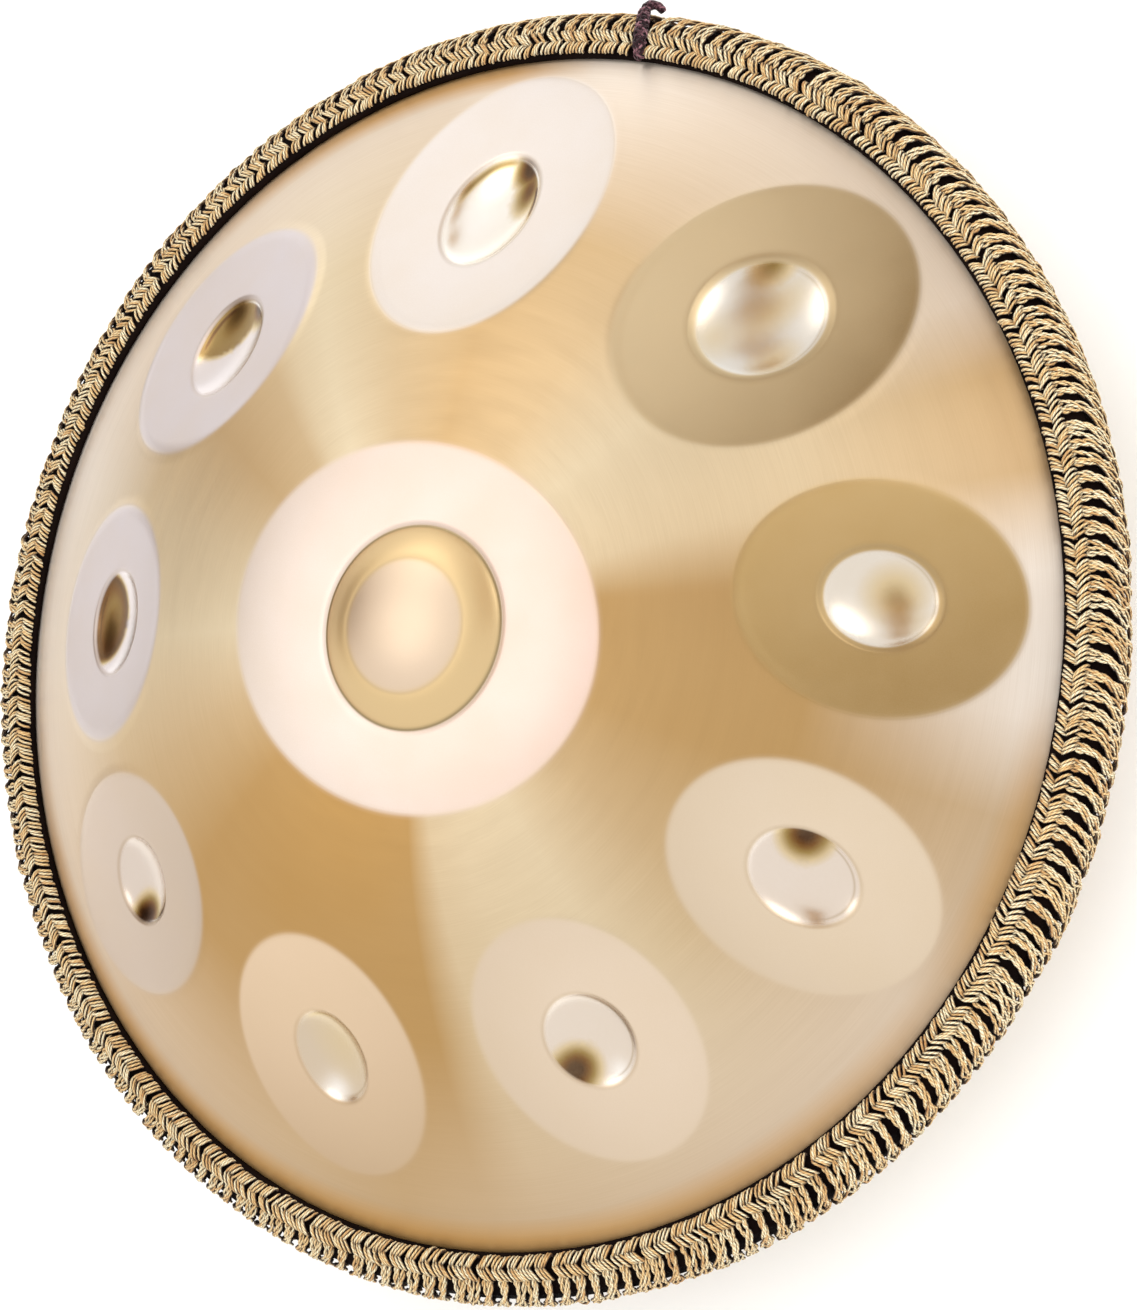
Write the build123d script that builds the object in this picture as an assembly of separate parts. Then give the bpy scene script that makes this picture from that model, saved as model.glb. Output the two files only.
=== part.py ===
from build123d import *
import os
from math import atan, cos, degrees, radians, sin, sqrt

# Handpan. Millimetres and degrees. +Z runs up through the ding, and the origin is on the floor
# under it, in the plane of the ring the bottom shell rests on.

# --- driving dimensions -----------------------------------------------------------------------
OUTER_R = 285.0          # outside of the rope work
SHEET = 1.0              # steel thickness
MID = 111.0              # height of the seam between the two shells
SEAM = 0.6               # glue between the flanges
FLANGE_R = 280.0         # outer radius of both flanges, a 22 inch instrument
ROOT_R = 275.2           # where the domes turn into the flanges

DOME_R = 262.0           # circle where the top dome meets the rubber edging
DOME_LOW = 10.8          # height of that circle above the seam
DOME_RISE = 91.5         # rise of the top dome above that circle
DOME_ROUND = 150.0       # radius inside which both domes flatten

DING_R = 43.5            # base circle of the ding
DING_STEP_R = 29.0       # crease inside the ding
DING_STEP = 6.6          # height of that crease above the dome
DING_RISE = 10.5         # height of the ding's top above the dome

PORT_R = 50.0            # bore of the port
PORT_ROLL = 8.0          # radius the port's lip is turned in by
NECK_TOP = 30.0          # top of the neck inside the body
REST_R = 72.0            # outer radius of the flat ring it rests on

TIE_AT = 260.0           # azimuth of the tie cord
TIE_WIDE = 6.0           # width of the tie cord along the rim

# Each tone field: azimuth, centre radius, half length down the slope, half width along the rim,
# turn, then the dimple's half length, half width and shift down the slope.
TONE_FIELDS = [
    (270.0, 190.0, 73.0, 56.0, -3.0, 32.0, 23.0, -3.5),
    (224.0, 191.5, 70.5, 58.0, 5.0, 32.0, 28.5, -2.0),
    (183.0, 197.0, 62.0, 50.0, -9.0, 26.0, 22.0, 0.0),
    (147.5, 196.0, 61.0, 45.0, -1.0, 25.5, 19.5, 0.0),
    (111.5, 187.0, 58.5, 47.0, 9.0, 22.5, 20.0, 0.0),
    (71.0, 191.0, 57.5, 49.0, 32.0, 22.5, 19.5, 1.0),
    (31.5, 200.5, 54.5, 50.0, -30.0, 21.0, 20.0, -2.5),
    (356.5, 188.0, 49.0, 53.0, -8.0, 22.5, 23.5, -3.5),
    (315.0, 193.5, 54.0, 61.0, -18.0, 25.5, 24.5, -5.0),
]
DIMPLE_DEPTH = 6.0
DIMPLE_LIFT = 3.0        # height of the dimple bowl's centre above the flat of the field

# --- shared curves ----------------------------------------------------------------------------
FLANGE_TOP = SEAM / 2 + SHEET
SHELL_BASE = MID + DOME_LOW


def rounded(r):
    """Distance that grows like a cone outside DOME_ROUND and stays flat inside it."""
    return (r**4 + DOME_ROUND**4) ** 0.25 - DOME_ROUND


def rounded_slope(r):
    return (r / (r**4 + DOME_ROUND**4) ** 0.25) ** 3


TOP_STEEP = DOME_RISE / rounded(DOME_R)
BOTTOM_STEEP = (MID - FLANGE_TOP) / (rounded(ROOT_R) - rounded(REST_R))


def dome(r):
    """Height of the top dome's outer face above the floor, without the ding."""
    return SHELL_BASE + DOME_RISE - TOP_STEEP * rounded(r)


def keel(r):
    """Height of the bottom dome's outer face above the floor."""
    return BOTTOM_STEEP * (rounded(r) - rounded(REST_R))


def sheet_drop(steep):
    """Vertical distance between the two faces of the sheet where it slopes by this much."""
    return SHEET * sqrt(1 + steep**2)


def dome_inside(r):
    return dome(r) - sheet_drop(TOP_STEEP * rounded_slope(r))


def keel_inside(r):
    return keel(r) + sheet_drop(BOTTOM_STEEP * rounded_slope(r))


def radii(start, stop, count):
    return [start + (stop - start) * i / (count - 1) for i in range(count)]


def solve_radius(height_at, target):
    """Radius near the root of the dome where a face reaches a height, by halving."""
    low, high = DOME_R, FLANGE_R
    rising = height_at(high) > height_at(low)
    for _ in range(40):
        middle = (low + high) / 2
        if (height_at(middle) < target) == rising:
            low = middle
        else:
            high = middle
    return low


def section(edges):
    """Face in the XZ plane from edges given as (radius, height)."""
    return Plane.XZ * make_face(edges)


def spin(face, arc=360.0, start=0.0):
    return Rot(0, 0, start) * revolve(face, Axis.Z, revolution_arc=arc)


# --- shells -----------------------------------------------------------------------------------
def dome_solid(drop, face_at, root):
    """Solid under one face of the top sheet, down to the flange's lower face."""
    peak = dome(0) + DING_RISE - drop
    step = dome(0) + DING_STEP - drop
    foot = (DING_R, face_at(DING_R))
    floor = MID + SEAM / 2
    cap_mid = (DING_STEP_R * 0.55, peak - (peak - step) * 0.27)
    wall_mid = ((DING_R + DING_STEP_R) / 2 + 1.0, step - (step - foot[1]) * 0.42)
    curve = [(r, face_at(r)) for r in radii(DING_R, root, 18)]
    cap = Spline([(0, peak), cap_mid, (DING_STEP_R, step)], tangents=[(1, 0), (1, -0.32)])
    wall = Spline([(DING_STEP_R, step), wall_mid, foot])
    dome_edge = Spline(curve)
    close = Polyline(curve[-1], (curve[-1][0], floor), (0, floor), (0, peak))
    return spin(section(Curve() + [cap, wall, dome_edge, close]))


def field_plane(azimuth, radius, half_long):
    """Plane through the chord of the dome under a tone field. Its X runs down the slope."""
    run = half_long * cos(atan(TOP_STEEP * rounded_slope(radius)))
    inner, outer = dome(radius - run), dome(radius + run)
    fall = (inner - outer) / (2 * run)
    out = Vector(cos(radians(azimuth)), sin(radians(azimuth)), 0)
    origin = out * radius + Vector(0, 0, (inner + outer) / 2)
    return Plane(origin=origin, x_dir=out - Vector(0, 0, fall), z_dir=out * fall + Vector(0, 0, 1))


def field_cutters(field, sink):
    """What a tone field takes out of a dome: everything above its flat, and the dimple bowl."""
    azimuth, radius, half_long, half_wide, turn, dimple_long, dimple_wide, shift = field
    plane = field_plane(azimuth, radius, half_long).offset(-sink)
    flat = extrude(plane * Ellipse(half_long, half_wide, rotation=turn), amount=30)
    deep = DIMPLE_DEPTH + DIMPLE_LIFT
    spread = 1 / sqrt(1 - (DIMPLE_LIFT / deep) ** 2)
    size = (dimple_long * spread + sink, dimple_wide * spread + sink, deep + sink)
    bowl = scale(Sphere(1), by=size)
    return [flat, plane.offset(sink) * Pos(shift, 0, DIMPLE_LIFT) * Rot(0, 0, turn) * bowl]


def top_shell():
    outside_root = solve_radius(dome, MID + FLANGE_TOP)
    inside_root = solve_radius(dome_inside, MID + SEAM / 2)
    outside = dome_solid(0.0, dome, outside_root)
    inside = dome_solid(SHEET * 1.08, dome_inside, inside_root)
    for field in TONE_FIELDS:
        outside = outside - field_cutters(field, 0.0)
        inside = inside - field_cutters(field, SHEET)
    flange = Pos(0, 0, MID + SEAM / 2) * extrude(Circle(FLANGE_R), amount=SHEET)
    return outside + flange - inside


def bottom_shell():
    under = MID - SEAM / 2
    outside_root = solve_radius(keel, MID - FLANGE_TOP)
    inside_root = solve_radius(keel_inside, under)
    outside = [(r, keel(r)) for r in radii(REST_R, outside_root, 16)]
    inside = [(r, keel_inside(r)) for r in radii(REST_R, inside_root, 16)]
    lip = PORT_R + PORT_ROLL
    bend = PORT_ROLL * (1 - sqrt(0.5))
    small = PORT_ROLL - SHEET
    small_bend = small * (1 - sqrt(0.5))
    edges = [
        Spline(outside),
        Polyline(outside[-1], (FLANGE_R, MID - FLANGE_TOP), (FLANGE_R, under), inside[-1]),
        Spline(inside[::-1]),
        Polyline(inside[0], (lip, SHEET)),
        ThreePointArc(
            (lip, SHEET),
            (PORT_R + SHEET + small_bend, SHEET + small_bend),
            (PORT_R + SHEET, PORT_ROLL),
        ),
        Polyline((PORT_R + SHEET, PORT_ROLL), (PORT_R + SHEET, NECK_TOP), (PORT_R, NECK_TOP)),
        Polyline((PORT_R, NECK_TOP), (PORT_R, PORT_ROLL)),
        ThreePointArc((PORT_R, PORT_ROLL), (PORT_R + bend, bend), (lip, 0)),
        Polyline((lip, 0), outside[0]),
    ]
    return spin(section(Curve() + edges))


# --- rim --------------------------------------------------------------------------------------
# Upper half of the rubber's outside, as (radius, height above the seam).
RUBBER = [(262.3, 13.0), (262.9, 13.7), (269.6, 13.5), (275.8, 11.0), (280.4, 6.6)]
RUBBER_WAIST = (281.8, 0.0)
CHAIN_IN = [(263.5, 13.98), (269.7, 13.86), (274.3, 12.0)]
CHAIN_OUT = [(275.7, 14.3), (270.4, 16.2), (264.4, 16.4), (263.2, 15.4)]
LACE_IN = [(274.8, 11.8), (276.05, 11.3), (280.75, 6.85), (282.2, 0.0)]
LACE_OUT = [(OUTER_R, 0.0), (284.0, 6.8), (279.8, 12.2), (276.2, 14.1)]


def at_seam(points, side=1):
    return [(r, MID + side * z) for r, z in points]


def ring(points, arc=360.0, start=0.0):
    return spin(section(Polyline(*points, points[0])), arc, start)


def rim_adhesive():
    low = solve_radius(keel_inside, MID - SEAM / 2)
    tall = Pos(0, 0, MID - SEAM / 2)
    return tall * extrude(Circle(FLANGE_R) - Circle(low + 0.8), amount=SEAM)


def rim_edging():
    slot = FLANGE_TOP + 0.3
    lower = keel(RUBBER[0][0]) - 0.45
    upper = dome(RUBBER[0][0]) + 0.4
    top = at_seam(RUBBER)
    bottom = at_seam(RUBBER[::-1], -1)
    inner = [
        (RUBBER[0][0], lower),
        (ROOT_R + 0.2, MID - slot),
        (FLANGE_R + 0.5, MID - slot),
        (FLANGE_R + 0.5, MID + slot),
        (ROOT_R + 0.2, MID + slot),
        (RUBBER[0][0], upper),
    ]
    return ring(top + at_seam([RUBBER_WAIST]) + bottom + inner)


def notch_arc(width):
    return degrees(width / OUTER_R)


def braid(points):
    """A band of rope work round the rim, open where the tie cord crosses it."""
    open_arc = notch_arc(TIE_WIDE + 1.0)
    return ring(points, 360 - open_arc, TIE_AT + open_arc / 2)


def braid_lacing():
    """The rungs over the outer edge, above and below the seam."""
    inner = at_seam(LACE_IN) + at_seam(LACE_IN[-2::-1], -1)
    outer = at_seam(LACE_OUT[:0:-1], -1) + at_seam(LACE_OUT)
    return braid(inner + outer)


def tie_cord():
    """Lashing across the rim and the small loop that stands off it."""
    arc = notch_arc(TIE_WIDE)
    start = TIE_AT - arc / 2
    inner = CHAIN_IN + LACE_IN[1:-1]
    outer = LACE_OUT[1:] + CHAIN_OUT
    lower_in = at_seam(inner[::-1], -1)
    lower_out = at_seam(outer[::-1], -1)
    points = at_seam(inner) + at_seam(LACE_IN[-1:]) + lower_in
    points = points + lower_out + at_seam(LACE_OUT[:1]) + at_seam(outer)
    band = ring(points, arc, start)
    loop = Rot(0, 0, TIE_AT) * Pos(286.1, 0, MID + 9.0) * Rot(90, 0, 0) * Torus(3.6, 1.5)
    return band + loop


# --- parts ------------------------------------------------------------------------------------
def build():
    return {
        "top_shell": top_shell(),
        "bottom_shell": bottom_shell(),
        "rim_adhesive": rim_adhesive(),
        "rim_edging": rim_edging(),
        "braid_upper_chain": braid(at_seam(CHAIN_IN + CHAIN_OUT)),
        "braid_lacing": braid_lacing(),
        "braid_lower_chain": braid(at_seam(CHAIN_IN + CHAIN_OUT, -1)),
        "tie_cord": tie_cord(),
    }


os.makedirs("parts", exist_ok=True)
for name, shape in build().items():
    export_step(shape, f"parts/{name}.step")
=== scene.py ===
import math

import bpy
import numpy as np
from mathutils import Matrix, Vector
from mathutils.geometry import delaunay_2d_cdt


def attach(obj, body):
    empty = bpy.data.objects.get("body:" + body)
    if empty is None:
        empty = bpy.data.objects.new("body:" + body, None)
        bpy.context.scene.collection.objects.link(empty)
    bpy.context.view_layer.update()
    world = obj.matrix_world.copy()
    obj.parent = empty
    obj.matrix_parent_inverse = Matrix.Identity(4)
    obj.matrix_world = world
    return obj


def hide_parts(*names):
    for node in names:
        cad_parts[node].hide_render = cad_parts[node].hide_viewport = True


# Handpan. Shapes are worked out in millimetres in the row frame and turned into metres when a
# mesh is made. Azimuths are degrees from +X towards +Y.
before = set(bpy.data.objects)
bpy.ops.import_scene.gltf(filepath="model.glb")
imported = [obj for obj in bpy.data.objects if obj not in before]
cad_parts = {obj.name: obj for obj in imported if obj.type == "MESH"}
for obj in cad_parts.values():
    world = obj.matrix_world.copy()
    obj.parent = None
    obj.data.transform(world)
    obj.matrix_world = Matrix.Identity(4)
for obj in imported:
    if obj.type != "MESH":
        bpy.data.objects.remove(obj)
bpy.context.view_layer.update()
MM = 0.001
TURN = 2 * math.pi
random = np.random.default_rng(58)

# --- driving dimensions, as in part.py ---
SHEET = 1.0  # steel thickness
MID = 111.0  # height of the seam between the shells
SEAM = 0.6  # glue between the flanges
FLANGE_R = 280.0
ROOT_R = 275.2  # where the domes turn into the flanges
DOME_R = 262.0
DOME_LOW = 10.8
DOME_RISE = 91.5
DOME_ROUND = 150.0
FLANGE_TOP = SEAM / 2 + SHEET

DING_R = 43.5
DING_STEP_R = 29.0
DING_STEP = 6.6
DING_RISE = 10.5
DING_CURVES = (2.19, 1.52)  # powers of the cap's and the wall's curve
DING_AT = (0.1, 2.6)  # the hammered ding sits a little off the middle

PORT_R = 50.0
PORT_ROLL = 8.0
NECK_TOP = 30.0
REST_R = 72.0
TIE_AT = 260.0

# Each tone field: azimuth, centre radius, half length down the slope, half width along the rim,
# turn, then the dimple's half length, half width and shift down the slope.
TONE_FIELDS = [
    (270.0, 190.0, 73.0, 56.0, -3.0, 32.0, 23.0, -3.5),
    (224.0, 191.5, 70.5, 58.0, 5.0, 32.0, 28.5, -2.0),
    (183.0, 197.0, 62.0, 50.0, -9.0, 26.0, 22.0, 0.0),
    (147.5, 196.0, 61.0, 45.0, -1.0, 25.5, 19.5, 0.0),
    (111.5, 187.0, 58.5, 47.0, 9.0, 22.5, 20.0, 0.0),
    (71.0, 191.0, 57.5, 49.0, 32.0, 22.5, 19.5, 1.0),
    (31.5, 200.5, 54.5, 50.0, -30.0, 21.0, 20.0, -2.5),
    (356.5, 188.0, 49.0, 53.0, -8.0, 22.5, 23.5, -3.5),
    (315.0, 193.5, 54.0, 61.0, -18.0, 25.5, 24.5, -5.0),
]
# The colour of each field and of its dimple, in the same order: the paler rubbed steel, partly with
# painted reflection that makes some fields near white, lavender or dark olive; then how much paler
# the field is painted along its length, across it and towards its edge, a painted gradient of
# reflected light.
FIELD_TINTS = [
    ((0.85, 0.79, 0.75), (0.95, 0.90, 0.82), (0.04, 0.02, -0.04)),
    ((0.57, 0.455, 0.28), (0.74, 0.71, 0.66), (-0.16, 0.30, -0.16)),
    ((0.48, 0.33, 0.14), (0.78, 0.73, 0.66), (-0.15, 0.20, 0.04)),
    ((0.765, 0.64, 0.49), (0.78, 0.69, 0.61), (0.02, 0.05, -0.07)),
    ((0.77, 0.64, 0.50), (0.78, 0.69, 0.60), (0.0, 0.05, -0.07)),
    ((0.71, 0.54, 0.37), (0.66, 0.55, 0.42), (-0.16, 0.03, -0.05)),
    ((0.62, 0.51, 0.42), (0.72, 0.63, 0.56), (0.11, -0.04, 0.01)),
    ((0.67, 0.61, 0.62), (0.78, 0.72, 0.73), (0.04, -0.05, -0.06)),
    ((0.66, 0.60, 0.61), (0.76, 0.70, 0.70), (0.01, -0.03, 0.0)),
]
SHADE_COLOUR = (1.0, 1.15, 1.4)  # how much of that each of red, green and blue takes
# Colours of the painted dark reflections and shade in the dimples, from ochre to near black, and
# the darkness levels from which and up to which they come.
PAINTED_DARK_COLOURS = [(0.70, 0.56, 0.34), (0.34, 0.23, 0.07), (0.17, 0.065, 0.010), (0.045, 0.012, 0.003)]
PAINTED_DARK_LEVELS = (0.0, 0.3, 0.55, 0.75, 0.95)
# Pale colour of the painted highlights and of the painted highlight lines on the burrs.
PALE = (1.0, 0.97, 0.93)
# Painted dark reflections in the dimples: field, middle along and across and half sizes as parts of
# the dimple's half size, then the darkness in the middle and at the edge.
PAINTED_DARK_PATCHES = [
    (1, 0.76, -0.47, 0.42, 0.52, 1.15, 0.0), (1, 0.40, -0.58, 0.56, 0.44, 0.88, 0.0),
    (2, 0.68, 0.60, 0.50, 0.42, 0.60, 0.0), (2, -0.62, 0.28, 0.60, 0.50, 0.20, 0.0),
    (2, -0.28, -0.63, 0.50, 0.42, 0.28, 0.0), (2, 0.18, 0.05, 0.90, 0.42, 0.28, 0.0),
    (3, 0.22, 0.16, 0.66, 0.70, 0.44, 0.0), (3, 0.46, -0.26, 0.50, 0.44, 0.20, 0.0),
    (4, -0.32, 0.80, 0.60, 0.80, 1.05, 0.0),
    (5, 0.34, -0.78, 0.62, 0.74, 1.1, 0.0),
    (6, -0.20, 0.30, 1.1, 0.95, 0.24, 0.0),
    (7, 0.20, 0.86, 0.66, 0.72, 1.2, 0.0),
    (8, 0.54, -0.05, 0.54, 0.90, 0.46, 1.0),
    (9, 0.64, 0.02, 0.50, 0.98, 0.54, 0.66), (9, 0.38, -0.84, 0.46, 0.50, 1.1, 0.0),
]
# Painted shade crescents on the walls at the edge of the dimples: field, way from the long axis,
# half width, darkness.
PAINTED_SHADE_CRESCENTS = [(1, -78.0, 26.0, 1.0), (1, 32.0, 62.0, 0.55), (7, 140.0, 38.0, 1.0),
                  (8, 5.0, 70.0, 0.88), (9, 20.0, 60.0, 0.85), (6, 140.0, 70.0, 0.4)]
CRESCENT_AT = 0.88  # where a crescent lies, as a part of the dimple's half size
CRESCENT_WIDTH = 0.06
PATCH_EDGE = (0.82, 1.14)  # where a patch fades out, as parts of its half size
DARK_FALL = 1.25  # how the darkness falls off from the middle of a patch
# Painted highlights in the dimples: field, place along and across, radius in mm and strength.
PAINTED_HIGHLIGHTS = [(1, -0.10, 0.50, 15.0, 0.9), (5, 0.85, 0.05, 5.0, 0.9), (6, 0.74, -0.45, 7.0, 0.9)]
# Burr round the dimples, lit on one side: fields that show it as a painted highlight line, the
# azimuth of the side it is painted on, and how far in it lies, with a painted shade line just
# inside it on the same side.
PAINTED_BURR_HIGHLIGHTS = (1, 7, 8, 9)
PAINTED_EDGE_WAY = 178.0
BURR_AT = 0.93
BURR_WIDTH = 0.02
SHADE_LINE_IN = 0.055  # how much further in the painted shade line lies
SHADE_LINE_WIDTH = 0.022
SHADE_LINE_STRENGTH = 0.45
BLURRED = (2, 3)  # fields whose dimple fades into the field
BLUR = 0.045  # how much wider the fade is there
LIP_SHADOWS = {False: (0.25, 0.03), True: (0.5, 0.06)}  # not blurred or blurred: strength, width
DIMPLE_DEPTH = 6.0
DIMPLE_LIFT = 3.0  # how far the dimple's sphere is lifted over the flat
DIMPLE_LIP = 1.5  # how soft the edge of the dimple is
DIMPLE_RISE = 24.0  # how steeply the cut rises outside the dimple
DISC = (1.4, 2.3, 92.4, 78.7, 162.0)  # rubbed disc round the ding: centre, half axes, turn
DISC_TINT = (0.80, 0.668, 0.60)
DISC_SHADE = (0.05, 0.13, 0.155)  # painted gradient of light: how much paler each colour is painted towards DISC_WAY
DISC_WAY = 12.0
DING_CAP_TINT = (0.75, 0.60, 0.455)
DING_WALL_TINT = (0.745, 0.555, 0.295)
DING_SHADE_TINT = (0.20, 0.15, 0.06)  # painted shade in the groove that outlines the ding
# Painted shade colour for the lines at the dimples' lips and edges and round the ding.
PAINTED_SHADE_TINT = (0.35, 0.24, 0.12)
DING_STEP_SHADE = (0.22, 0.8)  # strength and width of the painted shade line at the ding's step
DING_OUTLINE_SHADE = (0.85, 0.75)  # and of the painted shade along its outline
DING_GROOVE = (0.7, 1.1)  # depth and width of the groove round the ding

FIELD_BLEND = (-6.0, 5.0)  # where the dome flattens into a field, from its outline
TONE_EDGE = 1.8  # half width of the soft colour edge of a field
GRID_STEP = 3.6  # spacing of mesh points on the open dome


# --- shell curves ---
def rounded(r):
    return (r**4 + DOME_ROUND**4) ** 0.25 - DOME_ROUND


def rounded_slope(r):
    return (r / (r**4 + DOME_ROUND**4) ** 0.25) ** 3


TOP_STEEP = DOME_RISE / rounded(DOME_R)
BOTTOM_STEEP = (MID - FLANGE_TOP) / (rounded(ROOT_R) - rounded(REST_R))


def dome(r):
    return MID + DOME_LOW + DOME_RISE - TOP_STEEP * rounded(r)


def keel(r):
    return BOTTOM_STEEP * (rounded(r) - rounded(REST_R))


def smoothstep(low, high, x):
    t = np.clip((x - low) / (high - low), 0, 1)
    return t * t * (3 - 2 * t)


def bell(off, width):
    return np.exp(-((off / width) ** 2))


def turned(degrees):
    return math.cos(math.radians(degrees)), math.sin(math.radians(degrees))


def unit(vectors):
    return vectors / np.maximum(np.linalg.norm(vectors, axis=-1, keepdims=True), 1e-9)


def ellipse_distance(u, v, half_u, half_v):
    """Signed distance from an ellipse, near it, and the scale of the ellipse through the point."""
    scale = np.sqrt((u / half_u) ** 2 + (v / half_v) ** 2)
    steep = np.sqrt((u / half_u**2) ** 2 + (v / half_v**2) ** 2) / np.maximum(scale, 1e-6)
    return (scale - 1) / np.maximum(steep, 1e-6), scale


class ToneField:
    """One flattened oval of the top shell, with a dimple in it."""

    def __init__(self, number, row, tints):
        self.patches = [patch[1:] for patch in PAINTED_DARK_PATCHES if patch[0] == number]
        self.crescents = [crescent[1:] for crescent in PAINTED_SHADE_CRESCENTS if crescent[0] == number]
        self.highlights = [glow[1:] for glow in PAINTED_HIGHLIGHTS if glow[0] == number]
        self.painted_burr_highlight = number in PAINTED_BURR_HIGHLIGHTS
        self.blur = BLUR * (number in BLURRED)
        azimuth, radius, long, wide, turn, dimple_long, dimple_wide, self.shift = row
        self.size = (long, wide)
        self.dimple = (dimple_long, dimple_wide)
        self.tint, self.dimple_tint, self.shade = tints
        self.turn = turned(turn)
        run = long * math.cos(math.atan(TOP_STEEP * rounded_slope(radius)))
        inner, outer = dome(radius - run), dome(radius + run)
        fall = (inner - outer) / (2 * run)
        out = np.array([*turned(azimuth), 0.0])
        self.origin = out * radius + (0, 0, (inner + outer) / 2)
        self.down = unit(out - np.array([0, 0, fall]))
        self.normal = unit(out * fall + np.array([0, 0, 1.0]))
        self.side = np.cross(self.normal, self.down)

    def height(self, x, y):
        near, n = self.origin, self.normal
        return near[2] - ((x - near[0]) * n[0] + (y - near[1]) * n[1]) / n[2]

    def flat(self, x, y, shift=0.0):
        """In-plane coordinates along the oval's own axes."""
        away = np.stack([x, y, self.height(x, y)], -1) - self.origin
        u, v = away @ self.down - shift, away @ self.side
        c, s = self.turn
        return u * c + v * s, v * c - u * s

    def points(self, u, v, shift=0.0):
        """Plan positions of points given along the oval's own axes."""
        c, s = self.turn
        down, side = u * c - v * s + shift, u * s + v * c
        place = self.origin + down[:, None] * self.down + side[:, None] * self.side
        return place[:, :2]

    def outline(self, x, y):
        return ellipse_distance(*self.flat(x, y), *self.size)[0]

    def bowl(self, x, y):
        """Depth of the dimple under the flat of the field, and the scale of its oval."""
        scale = ellipse_distance(*self.flat(x, y, self.shift), *self.dimple)[1]
        deep = DIMPLE_DEPTH + DIMPLE_LIFT
        inside = 1 - (DIMPLE_LIFT / deep) ** 2
        sphere = DIMPLE_LIFT - deep * np.sqrt(np.clip(1 - scale**2 * inside, 0, 1))
        sphere = np.where(scale > 1, (scale - 1) * DIMPLE_RISE, sphere)
        blend = np.clip(0.5 - 0.5 * sphere / DIMPLE_LIP, 0, 1)
        return sphere * blend - DIMPLE_LIP * blend * (1 - blend), scale

    def colour(self, x, y):
        """The rubbed steel's tint on the flat of the field, with a painted gradient of reflected
        light across it.
        """
        u, v = self.flat(x, y)
        u, v = u / self.size[0], v / self.size[1]
        along, across, edge = self.shade
        paler = along * u + across * v + edge * (np.minimum(u**2 + v**2, 1.3) - 0.5)
        return np.array(self.tint) * (1 + paler[:, None] * SHADE_COLOUR)

    def painted_darkness(self, u, v):
        """How dark the painted reflections and shade are, from 0 to 1, over places as parts of the
        dimple.
        """
        painted_darkness = np.zeros(len(u))
        for along, across, half_along, half_across, middle, edge in self.patches:
            s = np.hypot((u - along) / half_along, (v - across) / half_across)
            level = middle + (edge - middle) * np.minimum(s, 1) ** DARK_FALL
            painted_darkness = np.maximum(painted_darkness, level * (1 - smoothstep(*PATCH_EDGE, s)))
        for way, half, level in self.crescents:
            off = np.abs((np.degrees(np.arctan2(v, u)) - way + 180) % 360 - 180) / half
            line = bell(np.hypot(u, v) - CRESCENT_AT, CRESCENT_WIDTH)
            painted_darkness = np.maximum(painted_darkness, level * line * (1 - smoothstep(0.4, 1.0, off)))
        return painted_darkness

    def dimple_colour(self, x, y):
        """The steel's tint in and at the edge of the dimple, with painted highlights, painted dark
        reflections and painted shade lines.
        """
        colour = np.tile(self.dimple_tint, (len(x), 1))
        u, v = self.flat(x, y, self.shift)
        u, v = u / self.dimple[0], v / self.dimple[1]
        for along, across, radius, strength in self.highlights:
            away = np.hypot((u - along) * self.dimple[0], (v - across) * self.dimple[1])
            colour = fade(colour, PALE, strength * bell(away, radius))
        scale = np.hypot(u, v)
        middle = self.points(np.zeros(1), np.zeros(1), self.shift)[0]
        way = np.arctan2(y - middle[1], x - middle[0])
        # The painted highlight and shade lines lie only on one side of the dimple, as if lit from
        # there.
        facing = smoothstep(-0.1, 0.7, np.cos(way - math.radians(PAINTED_EDGE_WAY)))
        painted_groove_shade = bell(scale - BURR_AT + SHADE_LINE_IN, SHADE_LINE_WIDTH) * facing
        colour = fade(colour, PAINTED_SHADE_TINT, SHADE_LINE_STRENGTH * painted_groove_shade)
        # Painted dark reflections and painted shade crescents.
        painted_darkness = self.painted_darkness(u, v)
        for low, high, tint in zip(PAINTED_DARK_LEVELS, PAINTED_DARK_LEVELS[1:], PAINTED_DARK_COLOURS):
            colour = fade(colour, tint, np.clip((painted_darkness - low) / (high - low), 0, 1))
        if self.painted_burr_highlight:
            colour = fade(colour, PALE, bell(scale - BURR_AT, BURR_WIDTH) * facing)
        return colour


FIELDS = [ToneField(*row) for row in zip(range(1, 10), TONE_FIELDS, FIELD_TINTS)]


def ding_profile():
    """Height of the ding over the dome against distance from its middle, slightly softened."""
    r = np.arange(0, 60, 0.05)
    cap_power, wall_power = DING_CURVES
    cap = DING_RISE - (DING_RISE - DING_STEP) * (r / DING_STEP_R) ** cap_power
    t = np.clip((r - DING_STEP_R) / (DING_R - DING_STEP_R), 0, 1)
    z = np.where(r < DING_STEP_R, cap, DING_STEP * (1 - t**wall_power))
    depth, width = DING_GROOVE
    z -= depth * bell(r - DING_R - 0.4, width)
    reach = np.arange(-2, 2.01, 0.05)
    weights = bell(reach, 1.0)
    padded = np.concatenate([z[40:0:-1], z, z[-1] * np.ones(40)])
    return r, np.convolve(padded, weights / weights.sum(), "valid")


DING_CURVE = ding_profile()


def ding_distance(x, y):
    return np.hypot(x - DING_AT[0], y - DING_AT[1])


def disc_outline(x, y):
    middle_x, middle_y, half_long, half_wide, turn = DISC
    c, s = turned(turn)
    dx, dy = x - middle_x, y - middle_y
    return ellipse_distance(dx * c + dy * s, dy * c - dx * s, half_long, half_wide)[0]


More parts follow.
